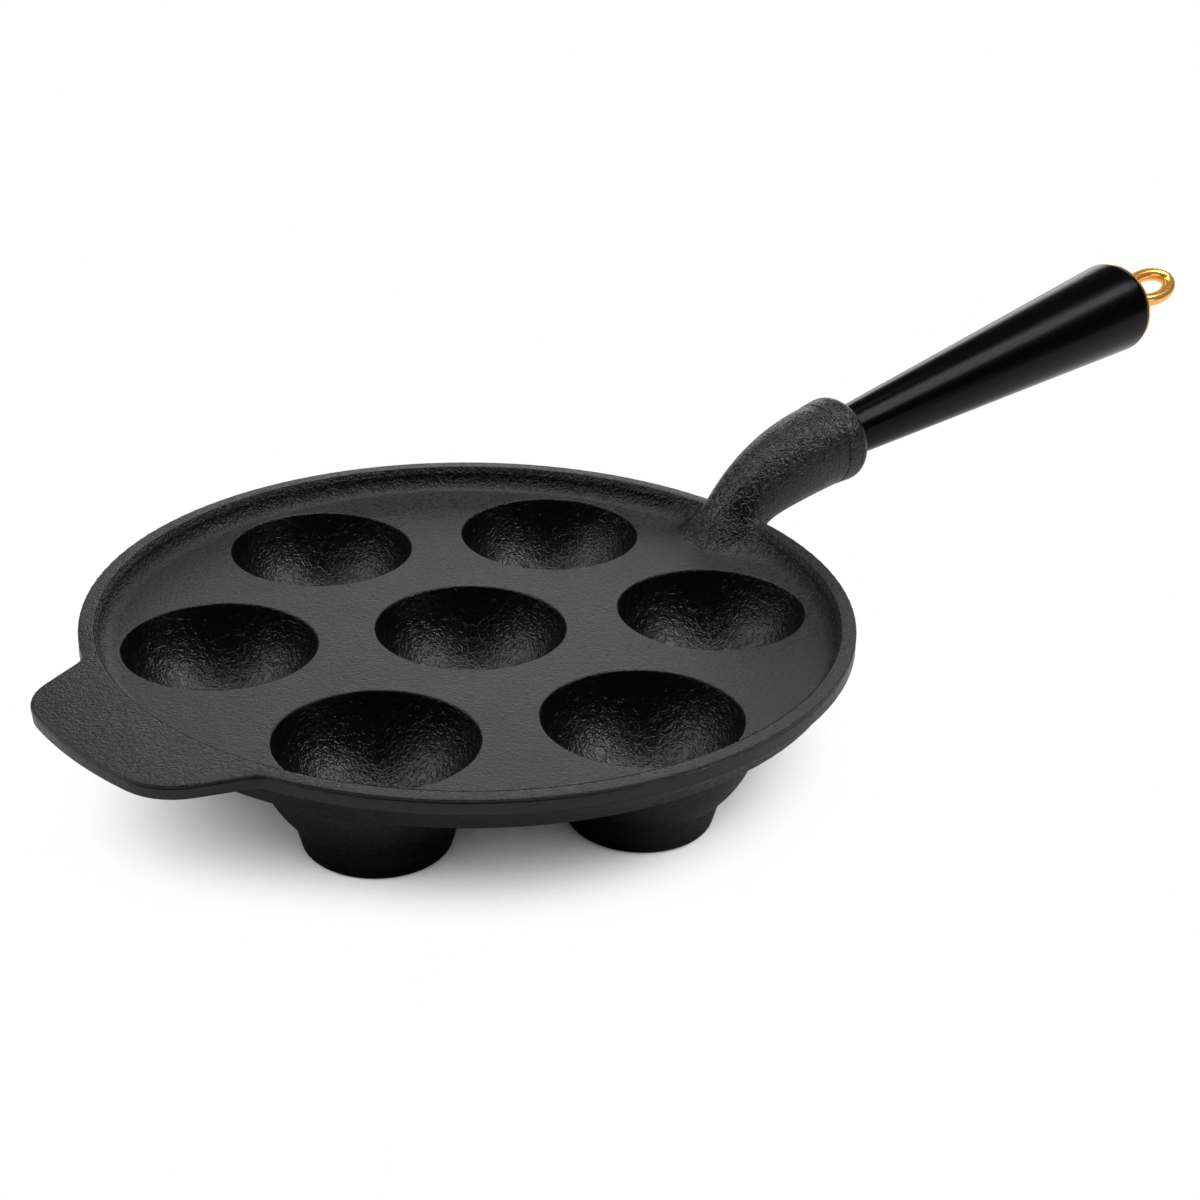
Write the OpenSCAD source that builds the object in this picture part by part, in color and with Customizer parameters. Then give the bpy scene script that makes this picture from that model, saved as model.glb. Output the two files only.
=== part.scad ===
// Aebleskiver pan: a cast-iron plate with seven round wells, a helper tab and a
// raised arm, with a turned wooden handle drawn into the arm's socket by a long rod.
// Millimetres. Z = 0 is the surface that the seven feet stand on, the origin is the
// middle of the centre foot, and the handle points along +X.

/* [Plate and rim] */
// Diameter of the plate over the outside of the rim
rim_d = 240; // [236:1:252]
// Width of the flat top of the rim
rim_w = 4.8; // [4:0.1:6]
// Depth from the top of the rim to the top of the plate
dish_depth = 7.2; // [6:0.1:9]
// Thickness of the plate between the wells
plate_t = 4.8; // [3.5:0.1:5.5]
// Radius of the hollow where the rim's inside wall runs into the plate
dish_fillet = 5.2; // [3:0.1:5.6]
// Height of the upper band on the outside of the rim, above the parting step
upper_band = 5; // [4:0.1:5.5]
// How far the lower band of the rim is set back
parting_step = 0.7; // [0.3:0.1:1.2]
// How far the lower band draws in on its way down to the underside
band_draft = 4.3; // [2:0.1:6]
// Rounding of the lower band's bottom edge
band_round = 1.5; // [0.5:0.1:2.5]
// Draft of the rim's inside wall, from top to bottom
rim_draft = 0.9; // [0.3:0.1:1.5]
// Rounding of the two edges of the rim's flat top
rim_round = 0.5; // [0.2:0.05:0.8]

/* [Wells] */
// Diameter of a well's mouth
well_d = 60; // [56:0.5:62]
// Depth of a well below the plate
well_depth = 28; // [24:0.5:29]
// Wall of a well at its mouth
well_wall = 5.1; // [3:0.1:5.5]
// Number of wells in the ring around the centre one
ring_wells = 6; // [5:1:6]
// Radius of the circle that the ring of wells stands on
ring_r = 78; // [76:0.5:82]
// Rounding of a well's mouth
mouth_round = 1.2; // [0.5:0.1:1.5]

/* [Feet] */
// Diameter of a foot where it meets the bowl
foot_top_d = 48.4; // [44:0.2:50]
// Diameter of a foot at the floor, before its edge is rounded
foot_d = 42.8; // [40:0.2:44]
// Iron between the bottom of a well and the floor
foot_base = 6; // [5:0.5:8]
// Rounding of a foot's bottom edge
foot_round = 3; // [1.5:0.25:4]

/* [Helper tab] */
// Distance from the pan's centre to the tab's outer edge
tab_reach = 142; // [136:0.5:150]
// Thickness of the tab
tab_t = 4.8; // [4:0.1:4.8]
// Radius of the tab's two outer corners
tab_corner = 20; // [14:0.5:21]
// Half of the angle between the centres of the two corners
tab_half_angle = 9.3; // [8:0.1:11]
// How far the tab's flanks lean in towards its outer edge
tab_lean = 22; // [16:0.5:24]
// Radius of the hollow where a flank meets the rim
tab_fillet = 9; // [2:0.5:12]

/* [Arm and socket] */
// Rise of the handle above level
handle_rise = 5.6; // [2:0.1:9]
// Distance from the pan's centre to the middle of the socket's mouth
socket_x = 170.5; // [166:0.5:180]
// Height of the middle of the socket's mouth above the rim
socket_z = 15.3; // [13:0.1:20]
// Outside diameter of the socket at its mouth
socket_d = 30.6; // [29:0.2:34]
// Outside diameter of the socket where the arm runs into it
socket_back_d = 29.6; // [28:0.2:33]
// Rounding of the socket's outer edge
socket_round = 4.6; // [2:0.1:4.8]
// How far the arm's root reaches in from the rim's outer wall
arm_root_h = 18.7; // [16:0.1:22]
// Width of the arm's root
arm_root_w = 24; // [22:0.5:28]
// How far each side of the arm draws in half way along
arm_waist = 2.2; // [0:0.1:3]
// Slope at which the arm's top line leaves the plate
arm_root_slope = 71; // [65:1:85]
// How far the arm's root spreads where it runs into the plate
root_flare = 4; // [2:0.5:6]

/* [Handle] */
// Diameter of the handle where it leaves the socket
grip_small_d = 17.7; // [16:0.1:18.6]
// Diameter of the handle at its free end
grip_large_d = 35.6; // [30:0.2:40]
// Length of the handle outside the socket
grip_length = 160; // [140:0.5:190]
// Rounding of the handle's free end
grip_end_round = 2.2; // [1.5:0.1:4]
// Length of the spigot that sits in the socket
spigot_length = 14; // [10:0.5:18]
// Gap around the spigot in the socket
spigot_gap = 0.3; // [0.15:0.05:0.5]
// Chamfer of the spigot's end
spigot_chamfer = 1; // [0.5:0.1:1.5]

/* [Rod, washer and eye] */
// Diameter of the rod through the handle
rod_d = 6; // [5:0.5:7]
// Length of rod that is screwed into the casting
rod_engage = 13; // [10:0.5:15]
// Gap around the rod in the handle's bore
rod_gap = 0.4; // [0.2:0.05:0.8]
// Gap around the rod in its two threads
thread_gap = 0.1; // [0.05:0.01:0.15]
// Depth left free past the rod's end in a blind hole
blind_gap = 2; // [1:0.5:2.5]
// How far the brass washer's edge stays inside the handle's end
washer_margin = 0.8; // [0.6:0.1:5]
// Thickness of the brass washer
washer_t = 1.6; // [1.4:0.1:2.5]
// Rounding of the washer's outer edge
washer_round = 1.2; // [0.4:0.1:1.2]
// Diameter of the round collar below the eye
collar_d = 10; // [9:0.25:12]
// Length of the collar, from the washer to its neck
collar_length = 11.4; // [8:0.1:14]
// Diameter of the eye's wire
eye_wire_d = 4.8; // [4:0.1:6]
// Length of the eye's hole, along the handle
eye_hole_length = 15.6; // [14:0.2:24]
// Width of the eye's hole
eye_hole_width = 6; // [5.6:0.2:10]
// Turn of the eye about the handle's axis
eye_roll = 32; // [0:1:45]

/* [Hidden] */
$fn = 96;
eps = 0.01;
// How far a cut runs past the face it opens
cut_past = 1;

rim_r = rim_d / 2;
dish_r = rim_r - rim_w;
well_r = well_d / 2;
// A well is a cap of a sphere, and its outside is a cap with the same centre
well_sphere_r = (well_r * well_r + well_depth * well_depth) / (2 * well_depth);
bowl_sphere_r = well_sphere_r + well_wall;
plate_top = well_depth + foot_base;
rim_top = plate_top + dish_depth;
plate_bottom = plate_top - plate_t;
parting_z = rim_top - upper_band;
step_r = rim_r - parting_step;
underside_r = step_r - band_draft;
well_centre_z = plate_top - well_depth + well_sphere_r;
foot_top_r = foot_top_d / 2;
foot_r = foot_d / 2;
foot_top_z = well_centre_z - sqrt(pow(bowl_sphere_r, 2) - pow(foot_top_r, 2));
ring_step = 360 / ring_wells;
// How far the hollows beside the tab cut into the rim's circle
tab_bury = 0.25;

socket_r = socket_d / 2;
socket_back_r = socket_back_d / 2;
grip_small_r = grip_small_d / 2;
spigot_r = grip_small_r;
socket_bore_r = spigot_r + spigot_gap;
grip_large_r = grip_large_d / 2;
rod_r = rod_d / 2;
washer_r = grip_large_r - washer_margin;
collar_r = collar_d / 2;
wire_r = eye_wire_d / 2;
eye_half_length = eye_hole_length / 2 + wire_r;
eye_bend_r = eye_hole_width / 2 + wire_r;
// Stations along the handle's axis, counted from the socket's mouth
washer_s = grip_length;
collar_s = washer_s + washer_t;
eye_s = collar_s + collar_length + wire_r + eye_half_length;
rod_start_s = -spigot_length - rod_engage;
rod_end_s = collar_s + collar_length - blind_gap;

// The arm's top line and bottom line are cubic curves in the plane y = 0, from
// inside the plate to the back of the socket
arm_dir = [cos(handle_rise), sin(handle_rise)];
arm_up = [-arm_dir[1], arm_dir[0]];
arm_bury = 1.5;
arm_root_z = 1.8;
socket_back_s = -socket_round - 6;
// The arm ends a little inside the socket, and its last section is that much smaller
arm_end_s = socket_back_s + 1;
arm_end_r = socket_back_r - 0.15;
arm_low_start = [underside_r - arm_bury, plate_bottom + arm_root_z];
arm_high_start = [rim_r - arm_root_h, arm_low_start[1]];
arm_low_end = axis_point(arm_end_s) - arm_up * arm_end_r;
arm_high_end = axis_point(arm_end_s) + arm_up * arm_end_r;
arm_reach = arm_low_end[0] - arm_low_start[0];
// Pulls of the curves' two ends, as shares of the arm's reach
low_root_pull = 0.58;
low_end_pull = 1.225;
high_root_pull = 0.56;
high_end_pull = 0.48;
arm_low = [
    arm_low_start,
    arm_low_start + [arm_reach * low_root_pull, 0],
    arm_low_end - arm_dir * arm_reach * low_end_pull,
    arm_low_end
];
arm_high = [
    arm_high_start,
    arm_high_start
        + arm_reach * high_root_pull * [cos(arm_root_slope), sin(arm_root_slope)],
    arm_high_end - arm_dir * arm_reach * high_end_pull,
    arm_high_end
];
arm_steps = 24;
arm_sides = 40;
// How square the arm's section is half way along; 2 is an ellipse
arm_square = 2.2;
// Share of the arm's length over which its root's spread fades out
flare_share = 0.25;

// A point of the plane y = 0 on the handle's axis, s along it from the socket's mouth
function axis_point(s) =
    [socket_x + s * cos(handle_rise), rim_top + socket_z + s * sin(handle_rise)];

function bezier(p, t) =
    pow(1 - t, 3) * p[0] + 3 * t * pow(1 - t, 2) * p[1]
    + 3 * t * t * (1 - t) * p[2] + pow(t, 3) * p[3];

function smooth(t) = t * t * (3 - 2 * t);

function signed_power(v, e) = sign(v) * pow(abs(v), e);

// Points of an arc from angle a0 to a1, with both ends
function arc(centre, r, a0, a1, steps) =
    [for (i = [0:steps]) centre + r * [cos(a0 + (a1 - a0) * i / steps), sin(a0 + (a1 - a0) * i / steps)]];

// A closed skin over rings of equally many points. Each end is closed by strips that
// join the ring's first point to its last, its second to the last but one, and so on.
module skin(rings) {
    sides = len(rings[0]);
    last = (len(rings) - 1) * sides;
    points = [for (ring = rings) for (p = ring) p];
    walls = [
        for (j = [0:len(rings) - 2]) for (i = [0:sides - 1])
            let (a = j * sides + i, b = j * sides + (i + 1) % sides)
            for (face = [[a, a + sides, b], [b, a + sides, b + sides]]) face
    ];
    strips = [for (i = [0:sides / 2 - 2]) [i, i + 1, sides - 2 - i, sides - 1 - i]];
    far_strips = [for (s = strips) [for (i = [3:-1:0]) last + s[i]]];
    polyhedron(points, concat(strips, walls, far_strips));
}

// Places children on the handle's axis, with +Z along it, s from the socket's mouth
module on_axis(s) {
    p = axis_point(s);
    translate([p[0], 0, p[1]]) rotate([0, 90 - handle_rise, 0]) children();
}

// Calls its children once at the centre and once at each well of the ring
module each_well() {
    children();
    for (i = [0:ring_wells - 1])
        rotate(i * ring_step + ring_step / 2) translate([ring_r, 0, 0]) children();
}

// Half section of the plate and rim, to be turned about the Z axis
module plate_section() {
    band_slope = atan2(parting_z - plate_bottom, band_draft);
    // How far the rounding reaches along the two faces that it joins
    edge_cut = band_round * tan(band_slope / 2);
    difference() {
        union() {
            // Web of the plate and the lower band, with its rounded bottom edge
            polygon([
                [0, plate_bottom], [underside_r - edge_cut, plate_bottom],
                [underside_r, plate_bottom] + edge_cut * [cos(band_slope), sin(band_slope)],
                [step_r, parting_z], [0, parting_z]
            ]);
            translate([underside_r - edge_cut, plate_bottom + band_round])
                circle(r = band_round);
            // Upper band
            translate([dish_r - rim_draft - dish_fillet, parting_z])
                square([rim_r - dish_r + rim_draft + dish_fillet, upper_band]);
        }
        dish_section();
        rim_edge_cut(rim_r, 1);
        rim_edge_cut(dish_r, -1);
    }
}

// Half section of the space inside the rim
module dish_section() {
    foot_of_wall = dish_r - rim_draft;
    difference() {
        polygon([
            [0, plate_top], [foot_of_wall, plate_top],
            [foot_of_wall, plate_top + dish_fillet],
            [dish_r, rim_top], [dish_r, rim_top + 1], [0, rim_top + 1]
        ]);
        difference() {
            translate([foot_of_wall - dish_fillet, plate_top]) square(dish_fillet + eps);
            translate([foot_of_wall - dish_fillet, plate_top + dish_fillet])
                circle(r = dish_fillet);
        }
    }
}

// What the rounding takes off an edge of the rim's top; side is 1 outside, -1 inside
module rim_edge_cut(edge_r, side) {
    inner = edge_r - side * rim_round;
    difference() {
        translate([min(inner, edge_r + side * eps), rim_top - rim_round])
            square([rim_round + eps, rim_round + eps]);
        translate([inner, rim_top - rim_round]) circle(r = rim_round);
    }
}

// Outside of a well: a bowl that ends in a round foot
module bowl_and_foot() {
    intersection() {
        translate([0, 0, well_centre_z]) sphere(r = bowl_sphere_r);
        translate([0, 0, foot_top_z]) cylinder(r = bowl_sphere_r + 1, h = plate_top - foot_top_z);
    }
    rotate_extrude() foot_section();
}

// Half section of a foot, with its rounded bottom edge
module foot_section() {
    lean = atan2(foot_top_r - foot_r, foot_top_z);
    corner_x = foot_r - foot_round * (1 - sin(lean)) / cos(lean);
    intersection() {
        polygon([[0, 0], [foot_r, 0], [foot_top_r, foot_top_z], [foot_top_r, foot_top_z + eps],
            [0, foot_top_z + 3]]);
        union() {
            translate([corner_x, foot_round]) circle(r = foot_round);
            square([corner_x, foot_top_z + 3]);
            translate([0, foot_round]) square([foot_top_r + 1, foot_top_z + 3]);
        }
    }
}

// The space inside a well, with its rounded mouth
module well_space() {
    difference() {
        union() {
            intersection() {
                translate([0, 0, well_centre_z]) sphere(r = well_sphere_r);
                cylinder(r = well_r + 1, h = plate_top);
            }
            // The mouth opens by its rounding
            translate([0, 0, plate_top - mouth_round])
                cylinder(r = well_r + mouth_round, h = mouth_round + 1);
        }
        translate([0, 0, plate_top - mouth_round])
            rotate_extrude() {
                translate([well_r + mouth_round, 0]) circle(r = mouth_round, $fn = 32);
                translate([well_r + mouth_round, -mouth_round]) square(2 * mouth_round);
            }
    }
}

// Outline of the helper tab, drawn in by inset: its outer edge from the rim on one
// side to the rim on the other, and back along an arc within the rim
function tab_outline(inset) =
    let (
        centre = (tab_reach - tab_corner) * [-cos(tab_half_angle), sin(tab_half_angle)],
        flank_dir = [-sin(tab_lean), cos(tab_lean)],
        out_dir = [-cos(tab_lean), -sin(tab_lean)],
        flank = centre * flank_dir + tab_corner + tab_fillet,
        hollow_centre = flank_dir * flank
            + out_dir * sqrt(pow(rim_r + tab_fillet - tab_bury, 2) - flank * flank),
        rim_angle = atan2(-hollow_centre[1], -hollow_centre[0]),
        half = concat(
            arc(hollow_centre, tab_fillet + inset, rim_angle, -90 + tab_lean, 5),
            arc(centre, tab_corner - inset, 90 + tab_lean, 180 - tab_half_angle, 7),
            arc([0, 0], tab_reach - inset, 180 - tab_half_angle * 4 / 5, 180, 4)
        ),
        outer = concat(half, [for (i = [len(half) - 2:-1:0]) [half[i][0], -half[i][1]]]),
        buried_r = rim_r - rim_w / 2
    )
    concat(outer, [for (i = [len(outer) - 1:-1:0]) outer[i] * buried_r / norm(outer[i])]);

// The helper tab, flush with the top of the rim, with eased edges
module helper_tab() {
    bottom = rim_top - tab_t;
    levels = [
        [bottom, 0.9], [bottom + 0.4, 0.4], [rim_top - 0.7, 0], [rim_top - 0.25, 0.15],
        [rim_top, 0.6]
    ];
    skin([for (level = levels) [for (p = tab_outline(level[1])) [p[0], p[1], level[0]]]]);
}

// One cross-section of the arm, between its bottom line and its top line: it lies
// level in the plate at the root, stands up, and is a circle at the socket
function arm_ring(t) =
    let (
        low = bezier(arm_low, t),
        high = bezier(arm_high, t),
        flare = root_flare * pow(max(0, 1 - t / flare_share), 2),
        up = (high - low) / norm(high - low),
        half_h = (norm(high - low) + flare) / 2,
        half_w = arm_root_w / 2 + (arm_end_r - arm_root_w / 2) * smooth(t)
            - arm_waist * sin(180 * t) + flare,
        middle = low + up * half_h,
        e = 2 / (2 + (arm_square - 2) * sin(180 * t))
    )
    [for (i = [0:arm_sides - 1])
        let (
            a = 360 * i / arm_sides,
            y = half_w * signed_power(cos(a), e),
            h = half_h * signed_power(sin(a), e)
        )
        [middle[0] + up[0] * h, y, middle[1] + up[1] * h]];

module arm() {
    skin([for (j = [0:arm_steps]) arm_ring(j / arm_steps)]);
}

// Outside of the socket, with its rounded mouth
module socket_body() {
    length = -socket_back_s;
    on_axis(socket_back_s) rotate_extrude() {
        polygon([
            [0, 0], [socket_back_r, 0], [socket_r, length - socket_round],
            [socket_r - socket_round, length], [0, length]
        ]);
        translate([socket_r - socket_round, length - socket_round])
            circle(r = socket_round);
    }
}

// The socket's seat for the handle and the tapped hole behind it
module socket_bores() {
    on_axis(-spigot_length) cylinder(r = socket_bore_r, h = spigot_length + 1);
    on_axis(-spigot_length - rod_engage - blind_gap)
        cylinder(r = rod_r + thread_gap, h = rod_engage + blind_gap + 1);
}

module pan_casting() {
    color([0.2, 0.2, 0.2])
    difference() {
        union() {
            rotate_extrude($fn = 180) plate_section();
            each_well() bowl_and_foot();
            helper_tab();
            arm();
            socket_body();
        }
        each_well() well_space();
        socket_bores();
    }
}

module handle_grip() {
    color([0.08, 0.08, 0.08])
    difference() {
        on_axis(-spigot_length) rotate_extrude() grip_section();
        on_axis(-spigot_length - 1)
            cylinder(r = rod_r + rod_gap, h = spigot_length + grip_length + 2);
    }
}

// Half section of the handle, from the spigot's end to the free end
module grip_section() {
    length = spigot_length + grip_length;
    corner_r = grip_large_r - grip_end_round;
    intersection() {
        polygon([
            [0, 0], [spigot_r - spigot_chamfer, 0], [spigot_r, spigot_chamfer],
            [spigot_r, spigot_length], [grip_large_r, length], [0, length]
        ]);
        union() {
            square([grip_large_r, length - grip_end_round]);
            square([corner_r, length]);
            translate([corner_r, length - grip_end_round]) circle(r = grip_end_round);
        }
    }
}

module tie_rod() {
    color([0.6, 0.6, 0.62])
    on_axis(rod_start_s) cylinder(r = rod_r, h = rod_end_s - rod_start_s);
}

module end_washer() {
    color([0.85, 0.62, 0.3])
    on_axis(washer_s) difference() {
        rotate_extrude() intersection() {
            square([washer_r, washer_t]);
            union() {
                square([washer_r, washer_t - washer_round]);
                square([washer_r - washer_round, washer_t]);
                translate([washer_r - washer_round, washer_t - washer_round])
                    circle(r = washer_round, $fn = 32);
            }
        }
        translate([0, 0, -1]) cylinder(r = rod_r + rod_gap, h = washer_t + 2);
    }
}

// The closed loop, in the plane z = 0, with its length along X
module eye_loop() {
    straight = 2 * (eye_half_length - eye_bend_r);
    for (end = [0, 180])
        rotate(end) translate([straight / 2, 0, 0]) rotate(-90)
            rotate_extrude(angle = 180) translate([eye_bend_r, 0]) circle(r = wire_r);
    for (side = [-1, 1])
        translate([-straight / 2, side * eye_bend_r, 0]) rotate([0, 90, 0])
            cylinder(r = wire_r, h = straight);
}

module hanging_eye() {
    color([0.85, 0.62, 0.3])
    difference() {
        union() {
            on_axis(collar_s) cylinder(r = collar_r, h = collar_length);
            on_axis(collar_s + collar_length) cylinder(r1 = collar_r, r2 = wire_r, h = wire_r);
            on_axis(eye_s) rotate([0, 0, eye_roll]) rotate([0, -90, 0]) eye_loop();
        }
        on_axis(collar_s - cut_past) cylinder(r = rod_r + thread_gap, h = cut_past + collar_length);
    }
}

pan_casting();
handle_grip();
tie_rod();
end_washer();
hanging_eye();
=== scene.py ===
"""Aebleskiver pan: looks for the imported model, laid out as an add-on and run as a script.

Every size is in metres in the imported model's frame: Z = 0 is the surface that the feet
stand on, the origin is under the centre well, and the handle points along +X.
"""

import math

import bmesh
import bpy
import numpy as np
from mathutils import Matrix, Vector
from mathutils.bvhtree import BVHTree


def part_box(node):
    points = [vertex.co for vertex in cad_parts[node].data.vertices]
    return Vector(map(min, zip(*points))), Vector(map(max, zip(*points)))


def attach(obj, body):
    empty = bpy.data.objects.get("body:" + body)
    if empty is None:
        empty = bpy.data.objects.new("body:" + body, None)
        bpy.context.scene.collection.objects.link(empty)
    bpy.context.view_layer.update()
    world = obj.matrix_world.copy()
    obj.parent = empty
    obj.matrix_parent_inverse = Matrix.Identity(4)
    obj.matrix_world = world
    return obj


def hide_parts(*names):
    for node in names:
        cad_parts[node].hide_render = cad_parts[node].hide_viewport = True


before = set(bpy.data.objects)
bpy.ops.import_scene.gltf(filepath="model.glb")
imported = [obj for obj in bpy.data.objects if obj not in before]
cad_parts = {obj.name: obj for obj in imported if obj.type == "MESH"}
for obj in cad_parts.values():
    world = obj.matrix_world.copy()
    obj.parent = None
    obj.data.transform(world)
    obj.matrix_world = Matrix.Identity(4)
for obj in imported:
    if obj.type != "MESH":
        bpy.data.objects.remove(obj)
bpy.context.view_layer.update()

bl_info = {
    "name": "Aebleskiver Pan",
    "version": (1, 0, 0),
    "blender": (4, 5, 0),
    "location": "3D View > Sidebar > Pan",
    "description": "Cast iron, lacquered wood and brass pieces for the aebleskiver pan",
    "category": "Add Mesh",
}

MM = 0.001

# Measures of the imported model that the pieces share
RIM_TOP = 41.2 * MM
PLATE_TOP = 34 * MM
HANDLE_RISE = math.radians(5.6)
SOCKET_MOUTH = Vector((170.5 * MM, 0, 56.5 * MM))
GRIP_LENGTH = 160 * MM

# The wells are caps of spheres; six stand in a ring round the centre one
WELLS_IN_RING = 6
WELL_RING = 78 * MM
WELL_SPHERE = 30.07 * MM
WELL_CENTRE_Z = 36.07 * MM
MOUTH_RADIUS = 30 * MM
MOUTH_ROUNDING = 1.9 * MM

# The block round the arm's root whose inner corners are filled
ROOT_BACK = 84 * MM
ROOT_FRONT = 142 * MM
ROOT_SIDE = 36 * MM
CUT_MARGIN = 2 * MM
BURIED_DEPTH = 0.01 * MM

# Where the filling starts and is whole along the arm, where it fades, and its side
FILL_START = (87 * MM, 97 * MM)
FILL_END = (128 * MM, 137 * MM)
FILL_SIDE = (19 * MM, 28 * MM)
FILL_STEP = 0.7

# Borders between the casting's finishes and its painted light and shade, each with half the width
# of its fading
WELL_EDGE = (WELL_SPHERE + 0.35 * MM, 0.2 * MM)
WELL_LIP = (PLATE_TOP - 0.25 * MM, 0.2 * MM)
ARM_FOOT = (RIM_TOP + 1.6 * MM, 0.8 * MM)
ROOT_FOOT = (PLATE_TOP + 0.5 * MM, 0.4 * MM)
ROOT_START = (88 * MM, 3 * MM)
ROOT_WIDTH = (20 * MM, 4 * MM)
ROOT_REACH = (116 * MM, 2 * MM)
WALL_FOOT = (PLATE_TOP + 0.3 * MM, 0.4 * MM)
BAND_TOP = (RIM_TOP - 0.5 * MM, 0.4 * MM)
BAND_INSIDE = (117.5 * MM, 0.6 * MM)
TAB_LEVEL = (RIM_TOP - 1.8 * MM, 0.4 * MM)
TAB_START = (-100 * MM, 4 * MM)
PLATE_LEVEL = (PLATE_TOP - 0.3 * MM, 0.3 * MM)
MOUTH_LOW = (PLATE_TOP - 0.7 * MM, 0.2 * MM)

# Rings and lines on the casting: the middle, and the width to each side
WALL_RING = (113.6 * MM, 4.4 * MM)
# The ring where the painted highlight along the wells' mouths goes
MOUTH_EDGE = (WELL_SPHERE, 0.45 * MM)
TOP_LINE = (RIM_TOP - 0.8 * MM, 0.5 * MM)
PARTING_LINE = (RIM_TOP - 5 * MM, 0.4 * MM)

# Depth of the casting's relief, and how much smoother the handled parts are
SAND_DEPTH = 0.32 * MM
SKIN_DEPTH = 0.34 * MM
SMOOTHER = {"band": 0.06, "well": 0.13, "arm": 0.09, "root": 0.08, "tab": 0.04}

# Mesh joints and creases
SAME_PLACE = 1e-7
SAME_CAD_PLACE = 2e-6
CREASE = math.radians(40)
CASTING_CREASE = math.radians(38)

# The camera that was fitted to the photograph
CAMERA_PLACE = (-0.419385, -0.501185, 0.352095)
CAMERA_AHEAD = Vector((0.62201, 0.65658, -0.42662))
CAMERA_UP = Vector((0.27221, 0.32954, 0.90405))
CAMERA_LENS = 69.476
CAMERA_SENSOR = 36
CAMERA_CLIP = (0.01, 50)

# Soft lights: degrees round and up, width, height, share of the light
SOFT_LIGHTS = {
    "top_light": (48, 74, 1.10, 0.90, 0.270),
    "left_light": (137, 41, 1.25, 1.10, 0.250),
    "right_light": (322, 49, 0.95, 0.70, 0.270),
    "back_light": (42, 10, 1.50, 0.50, 0.110),
    "low_right_light": (298, 5, 0.75, 0.25, 0.022),
    "low_left_light": (125, 10, 0.75, 0.50, 0.035),
}
LIGHT_DISTANCE = 1.6
LIGHT_AIM = Vector((50 * MM, 0, 40 * MM))


# Sizes and colours that a user may change


class IronSettings(bpy.types.PropertyGroup):
    plate_colour: bpy.props.FloatVectorProperty(
        name="Plate colour", description="Seasoned iron of the plate and the rim",
        subtype="COLOR", default=(0.0050, 0.0049, 0.0048), min=0, max=1,
    )
    # Painted highlight: a lighter colour painted along the wells' mouths
    edge_highlight_colour: bpy.props.FloatVectorProperty(
        name="Edge colour", description="Painted highlight along the wells' mouths, in patches",
        subtype="COLOR", default=(0.040, 0.039, 0.038), min=0, max=1,
    )
    # Painted light: the plate's top is painted paler than the rest of the iron
    top_light_colour: bpy.props.FloatVectorProperty(
        name="Top light colour", description="Painted light: the plate's top painted paler than the rest of the iron",
        subtype="COLOR", default=(0.0190, 0.0186, 0.0180), min=0, max=1,
    )
    # Painted shade: the iron inside the wells is painted darker than the plate
    well_shade_colour: bpy.props.FloatVectorProperty(
        name="Well colour", description="Painted shade: iron inside the wells painted darker than the plate",
        subtype="COLOR", default=(0.0020, 0.0019, 0.0019), min=0, max=1,
    )
    roughness: bpy.props.FloatProperty(
        name="Roughness", description="How matt the seasoned iron is",
        subtype="FACTOR", default=0.47, min=0, max=1,
    )
    voxel: bpy.props.FloatProperty(
        name="Mesh size", description="Edge length of the mesh of the filled corners",
        unit="LENGTH", default=0.6 * MM, min=0.4 * MM, max=2 * MM,
    )
    mouth_share: bpy.props.FloatProperty(
        name="Mouth rounding", description="Share of the wells' mouth rounding that stays",
        subtype="FACTOR", default=0.45, min=0.1, max=1,
    )
    fill_turns: bpy.props.IntProperty(
        name="Corner filling", description="How far the inner corners at the arm are filled",
        default=110, min=0, max=400,
    )
    skin_sink: bpy.props.FloatProperty(
        name="Skin sink", description="How far the corners' skin is sunk, to hide its edge",
        unit="LENGTH", default=0.06 * MM, min=0, max=0.5 * MM,
    )


class HandleSettings(bpy.types.PropertyGroup):
    lacquer_colour: bpy.props.FloatVectorProperty(
        name="Lacquer colour", description="Black lacquer on the wooden handle",
        subtype="COLOR", default=(0.0014, 0.0013, 0.0013), min=0, max=1,
    )
    roughness: bpy.props.FloatProperty(
        name="Roughness", description="How satin the lacquer is",
        subtype="FACTOR", default=0.21, min=0, max=1,
    )
    small_radius: bpy.props.FloatProperty(
        name="Radius at the socket", description="Radius where the handle leaves the socket",
        unit="LENGTH", default=8.85 * MM, min=6 * MM, max=12 * MM,
    )
    large_radius: bpy.props.FloatProperty(
        name="Radius at the end", description="Radius at the handle's free end",
        unit="LENGTH", default=17.8 * MM, min=12 * MM, max=24 * MM,
    )
    end_round: bpy.props.FloatProperty(
        name="End rounding", description="Rounding of the handle's free end",
        unit="LENGTH", default=2.2 * MM, min=0.5 * MM, max=5 * MM,
    )


class BrassSettings(bpy.types.PropertyGroup):
    colour: bpy.props.FloatVectorProperty(
        name="Brass colour", description="Polished brass of the washer and the eye",
        subtype="COLOR", default=(0.95, 0.50, 0.12), min=0, max=1,
    )
    roughness: bpy.props.FloatProperty(
        name="Roughness", description="How matt the polished brass is",
        subtype="FACTOR", default=0.17, min=0, max=1,
    )
    wire_radius: bpy.props.FloatProperty(
        name="Wire radius", description="Half the thickness of the eye's wire",
        unit="LENGTH", default=2.65 * MM, min=1 * MM, max=4 * MM,
    )
    eye_width: bpy.props.FloatProperty(
        name="Eye width", description="Half the width of the eye, between its wires' middles",
        unit="LENGTH", default=5.9 * MM, min=4 * MM, max=9 * MM,
    )


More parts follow.
